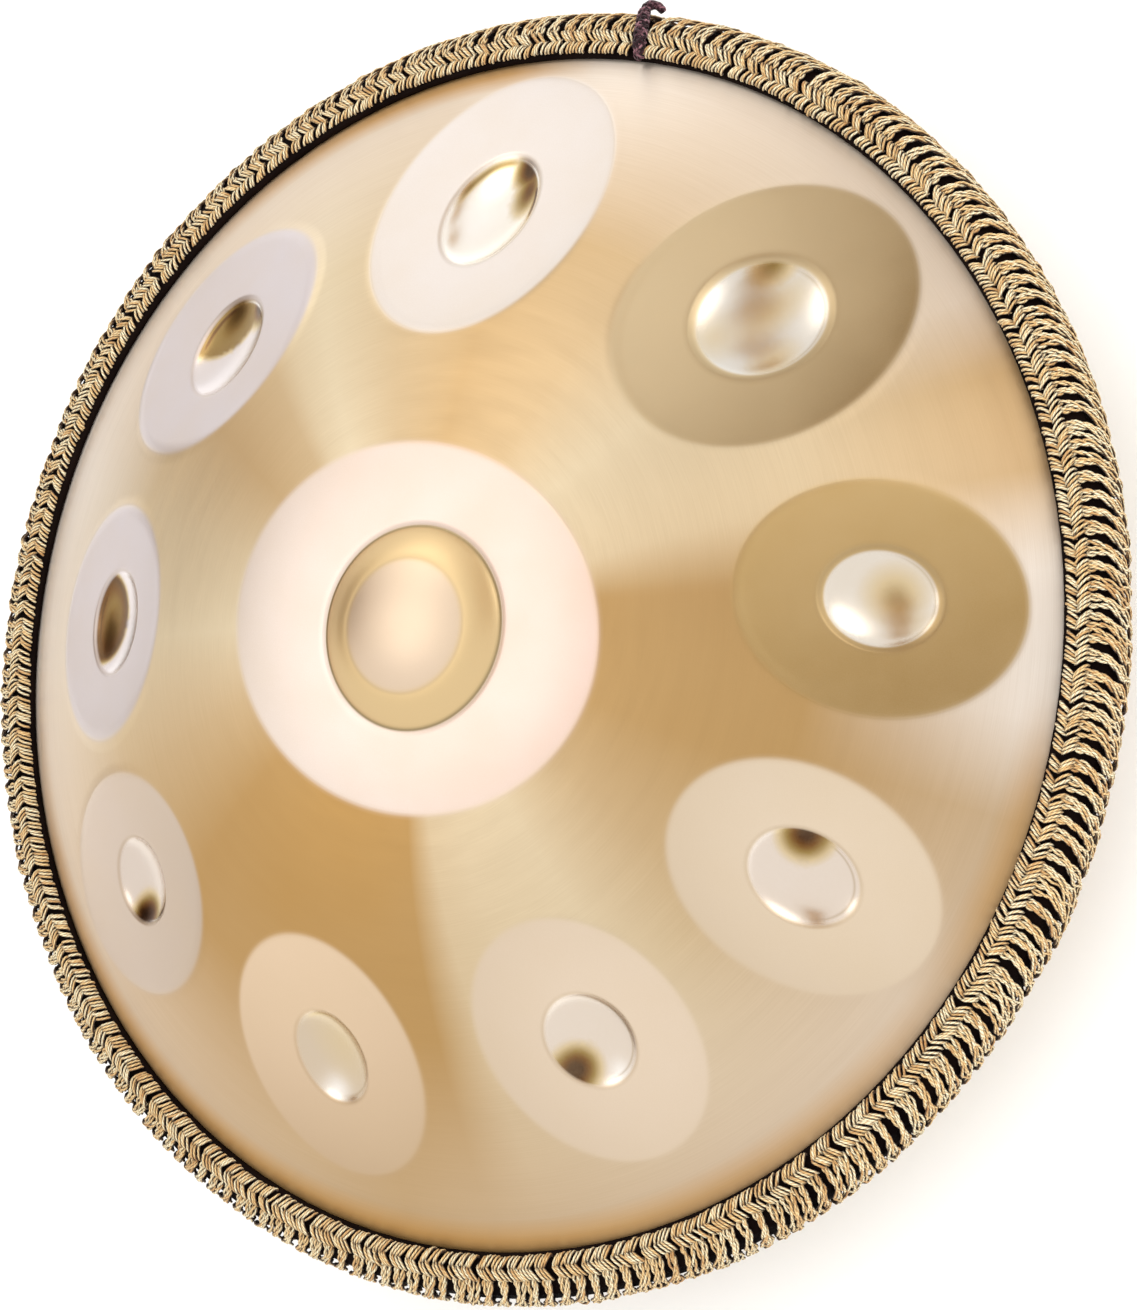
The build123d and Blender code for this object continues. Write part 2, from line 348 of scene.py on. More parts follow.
def top_surface(x, y):
    """Points of the top shell's outer face over plan positions."""
    r = np.hypot(x, y)
    z = np.where(r > ROOT_R, MID + FLANGE_TOP, dome(r))
    push = np.zeros((len(x), 3))
    for field in FIELDS:
        flat = 1 - smoothstep(*FIELD_BLEND, field.outline(x, y))
        z = z + (field.height(x, y) - z) * flat
        push += field.bowl(x, y)[0][:, None] * field.normal
    z = z + np.interp(ding_distance(x, y), *DING_CURVE)
    return np.stack([x, y, z], -1) + push


def top_normals(x, y, reach=0.15):
    along_x = top_surface(x + reach, y) - top_surface(x - reach, y)
    along_y = top_surface(x, y + reach) - top_surface(x, y - reach)
    return unit(np.cross(along_x, along_y))


# --- mesh points for the top shell ---
def oval_ring(half_u, half_v, step, phase=0.0):
    around = math.pi * (1.5 * (half_u + half_v) - math.sqrt(half_u * half_v))
    count = max(8, round(around / step))
    t = (np.arange(count) + phase) * TURN / count
    return half_u * np.cos(t), half_v * np.sin(t)


def circle_points(radius, step, phase=0.0, middle=(0.0, 0.0)):
    u, v = oval_ring(radius, radius, step, phase)
    return np.stack([u + middle[0], v + middle[1]], -1)


def field_points(field):
    rings = []
    for i, offset in enumerate((-6, -4, -2.4, -1.1, 0, 1.1, 2.4, 4, 6)):
        u, v = oval_ring(field.size[0] + offset, field.size[1] + offset, 2.6, i % 2 / 2)
        rings.append(field.points(u, v))
    scales = (0.1, 0.22, 0.34, 0.46, 0.56, 0.65, 0.73, 0.79, 0.83, 0.855, 0.875, 0.895, 0.915,
              0.93, 0.945, 0.965, 0.985, 1.0, 1.02, 1.06, 1.12, 1.2)
    for i, scale in enumerate(scales):
        u, v = oval_ring(field.dimple[0] * scale, field.dimple[1] * scale, 1.8, i % 2 / 2)
        rings.append(field.points(u, v, field.shift))
    return rings


def disc_points():
    middle_x, middle_y, half_long, half_wide, turn = DISC
    c, s = turned(turn)
    rings = []
    for i, offset in enumerate((-4.5, -2.4, -1.1, 0, 1.1, 2.4, 4.5)):
        u, v = oval_ring(half_long + offset, half_wide + offset, 2.6, i % 2 / 2)
        rings.append(np.stack([u * c - v * s + middle_x, u * s + v * c + middle_y], -1))
    return rings


def ding_points():
    radii = [2.5 * i for i in range(1, 11)] + [27, 28, 28.7, 29.3, 30, 31, 32.5, 34.5, 36.5, 38.5]
    radii += [40.3, 41.6, 42.3, 42.9, 43.4, 43.9, 44.4, 44.9, 45.6, 46.6, 48.5]
    return [circle_points(r, 1.9, i % 2 / 2, DING_AT) for i, r in enumerate(radii)]


def open_dome_points():
    """A plain polar grid, left out where the finer rings are."""
    rings = [circle_points(r, GRID_STEP, i % 2 / 2)
             for i, r in enumerate(np.arange(GRID_STEP, DOME_R - 2, GRID_STEP * 0.9))]
    points = np.concatenate(rings)
    x, y = points.T
    keep = (ding_distance(x, y) > 50.5) & (np.abs(disc_outline(x, y)) > 6)
    for field in FIELDS:
        keep &= (np.abs(field.outline(x, y)) > 7.8) & (field.bowl(x, y)[1] > 1.28)
    return [points[keep]]


def rim_points():
    radii = (260.5, 263, 265.5, 268, 270.5, 273, ROOT_R, ROOT_R + 0.4, FLANGE_R)
    return [circle_points(r, 3.4, i % 2 / 2) for i, r in enumerate(radii)]


# --- meshes ---
def make_object(name, points, faces, node):
    """A piece of the object from millimetre points, in the frame, standing for a CAD node."""
    mesh = bpy.data.meshes.new(name)
    mesh.from_pydata((np.asarray(points) * MM).tolist(), [], faces)
    mesh.polygons.foreach_set("use_smooth", np.ones(len(mesh.polygons), bool))
    piece = bpy.data.objects.new(name, mesh)
    bpy.context.scene.collection.objects.link(piece)
    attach(piece, "root")
    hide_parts(node)
    return piece


def add_value(mesh, name, values):
    mesh.attributes.new(name, "FLOAT", "POINT").data.foreach_set("value", values)


def add_colour(mesh, name, colours):
    rgba = np.column_stack([colours, np.ones(len(colours))])
    mesh.attributes.new(name, "FLOAT_COLOR", "POINT").data.foreach_set("color", rgba.ravel())


def fade(first, second, amount):
    return np.asarray(first) + (np.asarray(second) - first) * amount[:, None]


def tone_masks(x, y):
    """How far each point is rubbed pale, how far it is inside a dimple, and its tint, which carries
    the painted highlights, reflections and shade of the ding, disc, fields and dimples.
    """
    tone = 1 - smoothstep(-TONE_EDGE, TONE_EDGE, disc_outline(x, y))
    away = ding_distance(x, y)
    tint = fade(DING_CAP_TINT, DING_WALL_TINT, smoothstep(DING_STEP_R - 2.5, DING_STEP_R + 1, away))
    # A painted gradient of light across the disc, paler on one side.
    c, s = turned(DISC_WAY)
    lean = np.clip((x * c + y * s) / DISC[2], -1, 1)
    disc = np.array(DISC_TINT) * (1 + lean[:, None] * DISC_SHADE)
    tint = fade(tint, disc, smoothstep(DING_R - 0.4, DING_R + 0.9, away))
    # Painted shade lines at the ding's step and in the groove round it.
    strength, width = DING_STEP_SHADE
    tint = fade(tint, PAINTED_SHADE_TINT, strength * bell(away - DING_STEP_R, width))
    strength, width = DING_OUTLINE_SHADE
    tint = fade(tint, DING_SHADE_TINT, strength * bell(away - DING_R - 0.2, width))
    dimple = np.zeros(len(x))
    for field in FIELDS:
        distance = field.outline(x, y)
        tone = np.maximum(tone, 1 - smoothstep(-TONE_EDGE, TONE_EDGE, distance))
        scale = field.bowl(x, y)[1]
        inside = 1 - smoothstep(BURR_AT - field.blur, 1.0 - field.blur, scale)
        own = field.colour(x, y)
        own = own + (field.dimple_colour(x, y) - own) * inside[:, None]
        strength, width = LIP_SHADOWS[field.blur > 0]
        own = fade(own, PAINTED_SHADE_TINT, strength * bell(scale - 1.0, width))
        tint = np.where((distance < 12)[:, None], own, tint)
        dimple = np.maximum(dimple, inside)
    return tone, dimple, tint


def top_shell(dome_steel, field_steel):
    rings = ding_points() + disc_points() + open_dome_points() + rim_points()
    for field in FIELDS:
        rings += field_points(field)
    plan = np.concatenate(rings + [np.array([DING_AT])])
    outlines, start = [], 0
    for ring in rings:
        x, y = ring.T
        spread = [np.ptp(disc_outline(x, y)), np.ptp(ding_distance(x, y))]
        spread += [min(np.ptp(f.outline(x, y)), np.ptp(f.bowl(x, y)[1])) for f in FIELDS]
        if min(spread) < 0.02:
            index = np.arange(start, start + len(ring))
            outlines += np.stack([index, np.roll(index, -1)], -1).tolist()
        start += len(ring)
    found = delaunay_2d_cdt([Vector(p) for p in plan.tolist()], outlines, [], 0, 1e-5)
    x, y = np.array([tuple(v) for v in found[0]]).T
    faces = np.array([f for f in found[2] if len(f) == 3])
    corner = np.stack([x, y], -1)[faces]
    first, second = corner[:, 1] - corner[:, 0], corner[:, 2] - corner[:, 0]
    area = first[:, 0] * second[:, 1] - first[:, 1] * second[:, 0]
    faces[area < 0] = faces[area < 0][:, ::-1]
    faces = faces[np.abs(area) > 1e-4]

    outside, normals = top_surface(x, y), top_normals(x, y)
    inside = outside - normals * SHEET
    count = len(x)
    edge = np.flatnonzero(np.hypot(x, y) > FLANGE_R - 0.01)
    edge = edge[np.argsort(np.arctan2(y[edge], x[edge]))]
    after = np.roll(edge, -1)
    rim = np.stack([edge, edge + count, after + count, after], -1)
    polygons = faces.tolist() + (faces[:, ::-1] + count).tolist() + rim.tolist()
    shell = make_object("top_shell_steel", np.concatenate([outside, inside]), polygons,
                        "top_shell")
    mesh = shell.data
    mesh.normals_split_custom_set_from_vertices(np.concatenate([normals, -normals]).tolist())

    tone, dimple, tint = tone_masks(x, y)
    add_value(mesh, "tone", np.concatenate([tone, 0 * tone]))
    add_value(mesh, "dimple", np.concatenate([dimple, 0 * dimple]))
    add_colour(mesh, "tint", np.concatenate([tint, tint]))
    mesh.materials.append(dome_steel)
    mesh.materials.append(field_steel)
    rubbed = tone[faces].mean(1) > 0.5
    index = np.zeros(len(polygons), int)
    index[:len(faces)] = rubbed
    mesh.polygons.foreach_set("material_index", index)
    return shell


def bottom_profile():
    """Outer face from the seam down to the port, then the inner face back up."""
    outer_r = np.linspace(ROOT_R, REST_R, 74)
    outer = np.stack([outer_r, keel(outer_r)], -1)
    steep = BOTTOM_STEEP * rounded_slope(outer_r)
    away = np.stack([-steep, np.ones_like(steep)], -1) / np.sqrt(1 + steep[:, None] ** 2)
    inner = (outer + away * SHEET)[::-1]
    angle = np.linspace(0, math.pi / 2, 9)[1:]
    lip = PORT_R + PORT_ROLL
    roll = np.stack([lip - PORT_ROLL * np.sin(angle), PORT_ROLL * (1 - np.cos(angle))], -1)
    small = PORT_ROLL - SHEET
    back = np.stack([lip - small * np.sin(angle), PORT_ROLL - small * np.cos(angle)], -1)[::-1]
    flats = np.linspace(REST_R, lip, 5)[1:]
    neck = np.linspace(PORT_ROLL, NECK_TOP, 8)[1:]
    under, over = MID - FLANGE_TOP, MID - SEAM / 2
    return np.concatenate([
        [(FLANGE_R, over), (FLANGE_R, under), (ROOT_R + 0.6, under)],
        outer,
        np.stack([flats, 0 * flats], -1),
        roll,
        np.stack([0 * neck + PORT_R, neck], -1),
        [(PORT_R + 0.15, NECK_TOP + 0.2), (PORT_R + 0.85, NECK_TOP + 0.2)],
        np.stack([0 * neck + PORT_R + SHEET, neck], -1)[::-1],
        back,
        np.stack([flats[::-1], 0 * flats + SHEET], -1),
        inner,
        [(ROOT_R + 0.2, over)],
    ])


def bottom_shell(steel):
    profile = bottom_profile()
    around = 300
    t = np.arange(around) * TURN / around
    r, z = profile[:, 0][:, None], profile[:, 1][:, None]
    points = np.stack([r * np.cos(t), r * np.sin(t), z + 0 * t], -1).reshape(-1, 3)
    faces = []
    for i in range(len(profile)):
        first, second = i * around, (i + 1) % len(profile) * around
        for j in range(around):
            k = (j + 1) % around
            faces.append((first + j, second + j, second + k, first + k))
    shell = make_object("bottom_shell_steel", points, faces, "bottom_shell")
    shell.data.materials.append(steel)
    none = np.zeros(len(points))
    add_value(shell.data, "tone", none)
    add_value(shell.data, "dimple", none)
    add_colour(shell.data, "tint", np.tile(DISC_TINT, (len(points), 1)))
    return shell


# --- rope work ---
STITCHES = 228  # crochet stitches round the rim, one of them under the tie
FIRST_STITCH = TIE_AT - 0.9  # azimuth of the one under the tie
PLY = 0.69  # radius of one ply of the cord
ROPE_R = 268.0  # radius at which distances along the rim are measured
# Upper half of the line the plies lie on, from under the inner edge to the seam: radius, height.
WRAP = [(264.6, 12.9), (265.0, 14.2), (266.1, 15.0), (270.4, 15.0), (275.7, 13.1), (280.8, 8.6),
        (283.0, 4.0), (283.6, 0.0)]


def smooth_line(points, steps):
    """Catmull-Rom line through points, which lie along the second-last axis."""
    p = np.asarray(points, float)
    ends = (2 * p[..., :1, :] - p[..., 1:2, :], 2 * p[..., -1:, :] - p[..., -2:-1, :])
    p = np.concatenate([ends[0], p, ends[1]], -2)
    spans = p.shape[-2] - 3
    where = np.linspace(0, spans, steps)
    i = np.minimum(where.astype(int), spans - 1)
    t = (where - i)[:, None]
    a, b, c, d = (p[..., i + k, :] for k in range(4))
    return 0.5 * (2 * b + (c - a) * t + (2 * a - 5 * b + 4 * c - d) * t**2
                  + (3 * b - a - 3 * c + d) * t**3)


def wrap_table():
    """Distance along the wrap, then radius, height and outward direction there."""
    line = smooth_line(WRAP + [(r, -h) for r, h in WRAP[-2::-1]], 240)
    way = unit(np.gradient(line, axis=0))
    run = np.concatenate([[0], np.cumsum(np.linalg.norm(np.diff(line, axis=0), axis=1))])
    return run, line[:, 0], line[:, 1], -way[:, 1], way[:, 0]


RUN, *WRAP_VALUES = wrap_table()
SEAM_RUN = RUN[-1] / 2


def on_wrap(azimuth, run, along, lift):
    """Points at a distance along the wrap, shifted along the rim and lifted off it, in mm."""
    r, h, out_r, out_h = (np.interp(run, RUN, values) for values in WRAP_VALUES)
    angle = np.radians(azimuth) + along / ROPE_R
    loose = 0.5 + 0.5 * np.cos(angle - math.radians(LOOSE_AT))
    creep = CHAIN_CREEP * (1 - loose) * (1 - smoothstep(*CREEP_FADE, r))
    radius = r + lift * out_r - creep
    return np.stack([radius * np.cos(angle), radius * np.sin(angle), MID + h + lift * out_h], -1)


def tube_points(paths, radius, sides):
    """Rings round each path, carried along it without twisting."""
    way = unit(np.gradient(paths, axis=1))
    side = np.empty_like(way)
    start = np.cross(way[:, 0], (0.3, 0.2, 0.93))
    side[:, 0] = unit(start)
    for i in range(1, paths.shape[1]):
        carried = side[:, i - 1]
        side[:, i] = unit(carried - way[:, i] * (carried * way[:, i]).sum(-1, keepdims=True))
    other = np.cross(way, side)
    t = np.arange(sides) * TURN / sides
    spokes = side[:, :, None] * np.cos(t)[:, None] + other[:, :, None] * np.sin(t)[:, None]
    return paths[:, :, None] + spokes * np.asarray(radius)[..., None, None]


def tubes(name, lines, node, material, radius=PLY, sides=6):
    """One piece made of closed tubes along paths, tapered at the ends."""
    paths, outward = lines
    count, steps = paths.shape[:2]
    taper = np.ones(steps)
    taper[[0, -1]] = 0.55
    taper[[1, -2]] = 0.92
    sizes = radius * taper * random.uniform(0.93, 1.07, (count, 1))
    rings = tube_points(paths, sizes, sides)
    ring = np.arange(count * steps * sides).reshape(count, steps, sides)
    after = np.roll(ring, -1, 2)
    walls = np.stack([ring[:, :-1], after[:, :-1], after[:, 1:], ring[:, 1:]], -1).reshape(-1, 4)
    caps = np.concatenate([ring[:, 0, ::-1], ring[:, -1]])
    points = rings.reshape(-1, 3)
    piece = make_object(name, points, walls.tolist() + caps.tolist(), node)
    mesh = piece.data
    add_value(mesh, "strand", np.repeat(random.random(count), steps * sides))
    # How far each point of a ply faces outward; the cord material paints shade on the sides that
    # face away.
    facing = (unit(rings - paths[:, :, None]) * outward[:, :, None]).sum(-1)
    add_value(mesh, "facing", facing.ravel())

    length = np.linalg.norm(np.diff(paths, axis=1), axis=2).cumsum(1)
    length = np.concatenate([np.zeros((count, 1)), length], 1) + random.uniform(0, 9, (count, 1))
    u = np.broadcast_to(np.arange(sides) / sides, (count, steps - 1, sides))
    low = np.broadcast_to(length[:, :-1, None], u.shape)
    high = np.broadcast_to(length[:, 1:, None], u.shape)
    corners = [(u, low), (u + 1 / sides, low), (u + 1 / sides, high), (u, high)]
    wall_uv = np.stack([np.stack(c, -1) for c in corners], -2).reshape(-1, 2)
    uv = np.concatenate([wall_uv, np.zeros((caps.size, 2))])
    mesh.uv_layers.new(name="along").data.foreach_set("uv", uv.ravel())
    mesh.materials.append(material)
    return piece


# Middle lines of the three parts of a stitch: distances along the wrap, shifts along the rim,
# spacing of the plies or yarns side by side, and lifts.
LEAF_IN = ((0.4, 1.7, 3.6, 5.4, 6.8), (4.4, 4.2, 3.2, 1.9, 0.7),
           (1.6, 1.72, 1.7, 1.5, 1.15), (-0.8, 0.35, 1.0, 0.7, -0.7))
LEAF_OUT = ((5.6, 6.9, 8.8, 10.6, 12.0), (0.7, 1.7, 3.3, 4.5, 5.0),
            (1.1, 1.45, 1.62, 1.6, 1.4), (-0.6, 0.75, 1.1, 0.7, -0.9))
RUNG = ((10.4, 12.8, 16.5, 20.0, 23.5, SEAM_RUN), (3.4, 3.5, 3.0, 1.6, -0.6, -3.2),
        (1.5, 1.95, 1.3, 0.92, 1.45, 2.46), (-0.7, 0.2, 0.7, 0.95, 0.8, 0.5))
LEAF_PLIES = 4
YARNS = 3
YARN_TURN = 8.5  # length in which the two plies of a yarn go round once
YARN_START = 0.37  # how much further round each next yarn starts
YARN_HALF = (0.64, 0.5)  # how far its plies lie off its middle, both ways
LOOSE_AT = 170.0  # where the chain stays furthest from the steel
CHAIN_CREEP = 1.2  # how much nearer to it the chain is on the other side
CREEP_FADE = (264.0, 272.0)  # radii between which that fades out
LOWER_SHIFT = 2.5  # how far the lower stitches lie along the rim
KNOT_AT = 155.0  # azimuth of a knot, where the rope work stands out
SLACK_AT = 312.0  # middle of the stretch where it lies closer to the steel
RIPPLES = [(0.18, 9, 1), (0.15, 23, 0), (0.12, 57, 2)]  # of the rim: height, number, start
# Unevenness of hand work: of a stitch's width, as a part of it, then in mm of where the stitch
# lies along the rim, of each ply along the wrap, along the rim and off it, and of its bow along
# the rim and off it.
WIDTH_SPREAD = 0.07
STITCH_SPREAD = 0.3
PLY_SPREAD = (0.36, 0.17, 0.12)
BOW_SPREAD = (0.28, 0.22)


def side_by_side(shape, count, crown):
    """Lines side by side about a middle line, the inner ones standing a little higher."""
    run, along, gap, lift = (np.array(values) for values in shape)
    swell_along = np.sin(np.linspace(0, math.pi, len(run)))
    lines = []
    for j in range(count):
        side = j - (count - 1) / 2
        high = crown * (1 - (2 * side / count) ** 2) * swell_along
        lines.append(np.stack([run, along + side * gap, lift + high], -1))
    return np.array(lines)


def chain_plies():
    lines = np.concatenate([side_by_side(LEAF_IN, LEAF_PLIES, 0.45),
                            side_by_side(LEAF_OUT, LEAF_PLIES, 0.45)])
    return smooth_line(lines, 9)


def rung_plies():
    """Two plies twisted round each other for each yarn, carried on over the seam."""
    lines = side_by_side(RUNG, YARNS, 0.3)
    over = lines[:, -2::-1] * (-1, -1, 1) + (2 * SEAM_RUN, 2 * RUNG[1][-1], 0)
    lines = smooth_line(np.concatenate([lines, over], 1), 30)
    yarns = []
    for k, line in enumerate(lines):
        for ply in range(2):
            angle = TURN * (line[:, 0] / YARN_TURN + k * YARN_START + ply / 2)
            across, off = YARN_HALF[0] * np.cos(angle), YARN_HALF[1] * np.sin(angle)
            yarns.append(line + np.stack([0 * angle, across, off], -1))
    return np.array(yarns)


def stitch_azimuths():
    """Azimuths of the stitches, a little uneven, with the one under the tie left out."""
    azimuths = FIRST_STITCH + np.arange(1, STITCHES) * 360 / STITCHES
    return azimuths + random.normal(0, 0.05, len(azimuths))


def swell(azimuth):
    """How far the hand-made rim stands out here, in mm."""
    a = np.radians(azimuth)
    ripple = sum(high * np.sin(number * a + start) for high, number, start in RIPPLES)
    knot, slack = ((azimuth - middle + 180) % 360 - 180 for middle in (KNOT_AT, SLACK_AT))
    return ripple + 0.9 * bell(knot, 3.5) - 1.5 * np.exp(-((slack / 45) ** 4))


def lay(plies, azimuths, mirror=False):
    """Every ply of every stitch, with the small unevenness of hand work, and its outward way."""
    count, kinds, steps = len(azimuths), *plies.shape[:2]
    stitch, ply = (count, 1, 1), (count, kinds, 1)
    route = np.broadcast_to(plies, (count, *plies.shape)).copy()
    bulge = np.sin(np.linspace(0, math.pi, steps))
    middle = plies[..., 1].mean()
    route[..., 1] = middle + (route[..., 1] - middle) * random.normal(1, WIDTH_SPREAD, stitch)
    route[..., 1] += random.normal(0, PLY_SPREAD[1], ply) + random.normal(0, STITCH_SPREAD, stitch)
    route[..., 1] += bulge * random.normal(0, BOW_SPREAD[0], ply)
    route[..., 2] += random.normal(0, PLY_SPREAD[2], ply) + swell(azimuths)[:, None, None]
    route[..., 2] += bulge * random.normal(0, BOW_SPREAD[1], ply)
    route[..., 0] += random.normal(0, PLY_SPREAD[0], ply)
    if mirror:
        route[..., 0] = 2 * SEAM_RUN - route[..., 0]
        route[..., 1] += LOWER_SHIFT
    around = azimuths[:, None, None]
    points = on_wrap(around, route[..., 0], route[..., 1], route[..., 2])
    outward = on_wrap(around, route[..., 0], route[..., 1], route[..., 2] + 1) - points
    return points.reshape(count * kinds, -1, 3), outward.reshape(count * kinds, -1, 3)


def rope_work(material):
    azimuths = stitch_azimuths()
    tubes("upper_chain_plies", lay(chain_plies(), azimuths), "braid_upper_chain",
          material)
    yarns = rung_plies().reshape(YARNS, 2, -1, 3)
    for k in range(YARNS):
        tubes(f"lacing_yarn_{k + 1}", lay(yarns[k], azimuths), "braid_lacing", material)
    tubes("lower_chain_plies", lay(chain_plies(), azimuths, True), "braid_lower_chain",
          material)


# --- tie ---
# Route of the tie: distance along the wrap, shift along the rim, lift.
TIE_ROUTE = [(1.4, -2.8, 0.0), (3.0, -2.8, 1.5), (6.8, -2.5, 2.3), (11.4, -1.4, 2.5),
             (16.8, 0.8, 2.6), (20.6, 2.6, 2.8), (22.6, 3.0, 4.4), (24.0, 1.6, 5.8),
             (25.4, -0.8, 5.4), (26.6, -2.6, 3.0)]
TIE_STEPS = 120
TIE_SPOKES = 64  # directions round the tie that its strands go through
TIE_TURN = 11.0  # length in which a strand goes round once
TIE_CORE = 2.0  # radius of the ring the tie's strands run round
TIE_SLIM = ((0, 0.15, 0.62, 0.8, 1), (0.75, 1.1, 1.05, 0.72, 0.45))  # its thickness on the way


def tie(material):
    route = smooth_line(TIE_ROUTE, TIE_STEPS)
    centre = on_wrap(np.array(TIE_AT), route[:, 0], route[:, 1], route[:, 2])[None]
    run = np.concatenate([[0], np.cumsum(np.linalg.norm(np.diff(centre[0], axis=0), axis=1))])
    slim = np.interp(run / run[-1], *TIE_SLIM)
    spokes = tube_points(centre, slim[None], TIE_SPOKES)[0] - centre[0][:, None]
    strands = []
    for way in (-1, 1):
        for k in range(4):
            angle = way * TURN * run / TIE_TURN + k * TURN / 4 + (way > 0) * TURN / 8
            index = np.round(angle / TURN * TIE_SPOKES).astype(int) % TIE_SPOKES
            weave = TIE_CORE * (1 + 0.16 * way * np.sin(angle * 4 + run))
            strands.append(centre[0] + spokes[np.arange(TIE_STEPS), index] * weave[:, None])
    strands = np.array(strands)
    outward = unit(strands - centre)
    tubes("tie_strands", (strands, outward), "tie_cord", material, 0.8, 8)
    core = centre[:, ::5]
    upward = np.broadcast_to((0.0, 0.0, 1.0), core.shape)
    tubes("tie_core", (core, upward), "tie_cord", material, 1.9, 12)


# --- materials ---
class Graph:
    """A material being wired. Constants go straight on the shader's own sockets."""

    def __init__(self, name, **settings):
        self.material = bpy.data.materials.new(name)
        self.material.use_nodes = True
        self.tree = self.material.node_tree
        self.shader = self.tree.nodes["Principled BSDF"]
        for socket, value in settings.items():
            self.set(self.shader.inputs[socket.replace("_", " ")], value)

    def set(self, socket, value):
        if isinstance(value, bpy.types.NodeSocket):
            self.tree.links.new(value, socket)
        elif value is not None:
            socket.default_value = value

    def node(self, kind, *inputs, out=0, **settings):
        node = self.tree.nodes.new("ShaderNode" + kind)
        for name, value in settings.items():
            setattr(node, name, value)
        for socket, value in zip(node.inputs, inputs):
            self.set(socket, value)
        return node.outputs[out]

    def math(self, operation, *inputs):
        return self.node("Math", *inputs, operation=operation)

    def noise(self, vector, scale, detail=2.0, roughness=0.5):
        node = self.tree.nodes.new("ShaderNodeTexNoise")
        self.set(node.inputs["Vector"], vector)
        for name, value in (("Scale", scale), ("Detail", detail), ("Roughness", roughness)):
            node.inputs[name].default_value = value
        return node.outputs["Fac"]

    def ramp(self, value, *stops):
        node = self.tree.nodes.new("ShaderNodeValToRGB")
        while len(node.color_ramp.elements) < len(stops):
            node.color_ramp.elements.new(0.5)
        for element, (position, colour) in zip(node.color_ramp.elements, stops):
            element.position = position
            element.color = (*colour, 1) if len(colour) == 3 else colour
        self.set(node.inputs["Fac"], value)
        return node.outputs["Color"]

    def mix(self, amount, first, second, blend="MIX"):
        node = self.tree.nodes.new("ShaderNodeMix")
        node.data_type = "RGBA"
        node.blend_type = blend
        for index, value in ((0, amount), (6, first), (7, second)):
            if isinstance(value, tuple) and len(value) == 3:
                value = (*value, 1)
            self.set(node.inputs[index], value)
        return node.outputs[2]

    def remap(self, value, low, high, to_low, to_high):
        return self.node("MapRange", value, low, high, to_low, to_high)

    def attribute(self, name, out="Fac"):
        node = self.tree.nodes.new("ShaderNodeAttribute")
        node.attribute_name = name
        return node.outputs[out]

    def bump(self, height, strength, distance, below=None):
        node = self.tree.nodes.new("ShaderNodeBump")
        node.inputs["Strength"].default_value = strength
        node.inputs["Distance"].default_value = distance
        self.set(node.inputs["Height"], height)
        if below is not None:
            self.set(node.inputs["Normal"], below)
        return node.outputs["Normal"]

    def place(self):
        return self.node("TexCoord", out=3)

    def finish(self, colour=None, roughness=None, normal=None, tangent=None):
        links = (("Base Color", colour), ("Roughness", roughness), ("Normal", normal),
                 ("Tangent", tangent))
        for name, value in links:
            self.set(self.shader.inputs[name], value)
        return self.material


def polar(graph, across, around):
    """Coordinates that run fast across the brushing and slowly round it."""
    flat = graph.node("VectorMath", graph.place(), (1, 1, 0), operation="MULTIPLY")
    radius = graph.node("VectorMath", flat, operation="LENGTH", out=1)
    way = graph.node("VectorMath", flat, operation="NORMALIZE")
    x = graph.node("SeparateXYZ", way, out=0)
    y = graph.node("SeparateXYZ", way, out=1)
    return graph.node("CombineXYZ", graph.math("MULTIPLY", radius, across),
                      graph.math("MULTIPLY", x, around), graph.math("MULTIPLY", y, around))


# GOLD and GOLD_PALE, RIM_DEEP and RIM_PALE are the dark and pale ends of the painted reflection
# round the crown and near the rim; GOLD_PALE also lightens the clouds.
GOLD = (0.49, 0.283, 0.09)
GOLD_PALE = (0.865, 0.77, 0.57)
RIM_DEEP = (0.558, 0.377, 0.189)
RIM_PALE = (1.0, 0.94, 0.88)
BRUSH_TINT = (0.42, 0.28, 0.12)  # in the brushing lines of the dome
STAIN = (0.70, 0.55, 0.34)  # clouds on the rubbed steel
GRAIN_TINT = (0.60, 0.46, 0.30)
CROWN_TO_RIM = (0.175, 0.252)  # radii between which the crown's painted reflection gives way to the rim's, in metres
RIM_EDGE = (0.2485, 0.2575)  # radii between which the painted brown shade of the rim comes in
# Painted reflection round the brushed dome, pale fans and dark sectors in the colour that stand in
# for its highlights: azimuth, and how pale the colour is painted there. The first list is for the
# crown and the second for the low slope near the rim.
CROWN_PAINTED_REFLECTION = [(0, 0.88), (20, 0.38), (40, 0.05), (60, 0.02), (90, 0.04), (97, 0.55), (106, 0.65),
                (122, 0.70), (140, 0.31), (158, 0.08), (185, 0.07), (196, 0.6), (220, 0.76),
                (240, 0.38), (262, 0.22), (280, 0.44), (296, 0.8), (303, 0.68), (308, 0.42),
                (322, 0.31), (340, 0.66), (360, 0.88)]
RIM_PAINTED_REFLECTION = [(0, 0.85), (20, 0.53), (40, 0.34), (60, 0.19), (80, 0.05), (100, 0.2), (120, 0.34),
              (142, 0.45), (153, 0.22), (162, 0.14), (172, 0.84), (186, 0.92), (195, 0.05),
              (206, 0.0), (214, 0.58), (240, 0.62), (262, 0.78), (280, 0.55), (300, 0.6),
              (320, 0.7), (340, 1.0), (360, 0.85)]
# Where round the rim the last centimetre of steel is painted with brown shade beside the rope, and
# how much.
RIM_PAINTED_SHADE = [(0, 0.0), (12, 0.3), (20, 0.65), (60, 1.0), (100, 0.95), (130, 0.65), (145, 0.3),
              (155, 0.7), (165, 0.6), (175, 0.0), (264, 0.0), (274, 1.0), (290, 1.0), (306, 0.6),
              (316, 0.0), (345, 0.1), (360, 0.0)]
RIM_SHADE_BROWN = (0.66, 0.36, 0.10)


